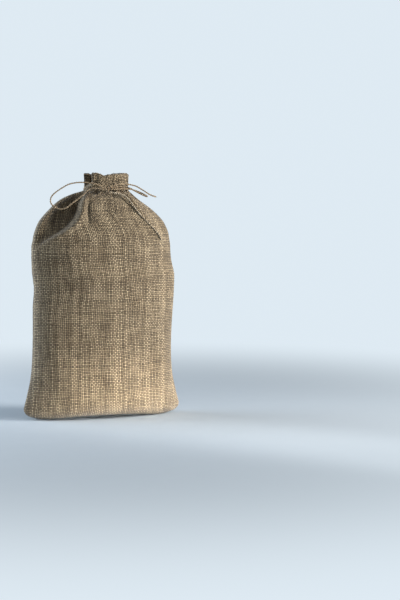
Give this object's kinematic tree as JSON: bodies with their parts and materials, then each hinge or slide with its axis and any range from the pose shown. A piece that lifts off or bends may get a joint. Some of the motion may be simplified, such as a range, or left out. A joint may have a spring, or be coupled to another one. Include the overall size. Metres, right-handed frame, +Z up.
{
  "type": "drawstring gift pouch",
  "caption": "Filled jute cloth gift pouch with a gathered neck, tied shut by a twine drawcord in a bow with loose tails.",
  "frame": {"origin": "middle of the base, on the surface the pouch stands on", "axes": "+Z up to the frill, -Y out of the front where the bow is, +X to the right seen from the front"},
  "size_m": [0.214, 0.072, 0.326],
  "materials": {
    "cloth": "coarse natural jute weave, matt",
    "twine": "two-ply natural jute twine, matt and hairy",
    "thread": "beige cotton sewing thread, matt"
  },
  "bodies": {
    "bag": {"front_panel": "cloth", "back_panel": "cloth", "left_seam_thread": "thread", "right_seam_thread": "thread", "bottom_seam_thread": "thread"},
    "neck": {"front_casing": "cloth", "back_casing": "cloth", "front_casing_stitches": "thread", "back_casing_stitches": "thread", "front_hem_stitches": "thread", "back_hem_stitches": "thread", "drawcord": "twine", "bow_knot": "twine"},
    "left_bow": {"left_loop": "twine"},
    "right_bow": {"right_loop": "twine", "short_tail": "twine"},
    "tail": {"long_tail": "twine"}
  },
  "joints": [
    {"name": "neck_nod", "type": "hinge", "parent": "bag", "child": "neck", "pos_m": [0, 0.02, 0.262], "axis": [-1, 0, 0], "range_deg": [0, 20]},
    {"name": "left_loop_lift", "type": "hinge", "parent": "neck", "child": "left_bow", "pos_m": [0.002, -0.027, 0.304], "axis": [0, 0.7071, 0.7071], "range_deg": [0, 45]},
    {"name": "right_loop_lift", "type": "hinge", "parent": "neck", "child": "right_bow", "pos_m": [0.002, -0.027, 0.304], "axis": [0, -0.7071, -0.7071], "range_deg": [0, 45]},
    {"name": "tail_lift", "type": "hinge", "parent": "neck", "child": "tail", "pos_m": [0.002, -0.027, 0.304], "axis": [-0.6711, 0, -0.7414], "range_deg": [0, 50]}
  ]
}
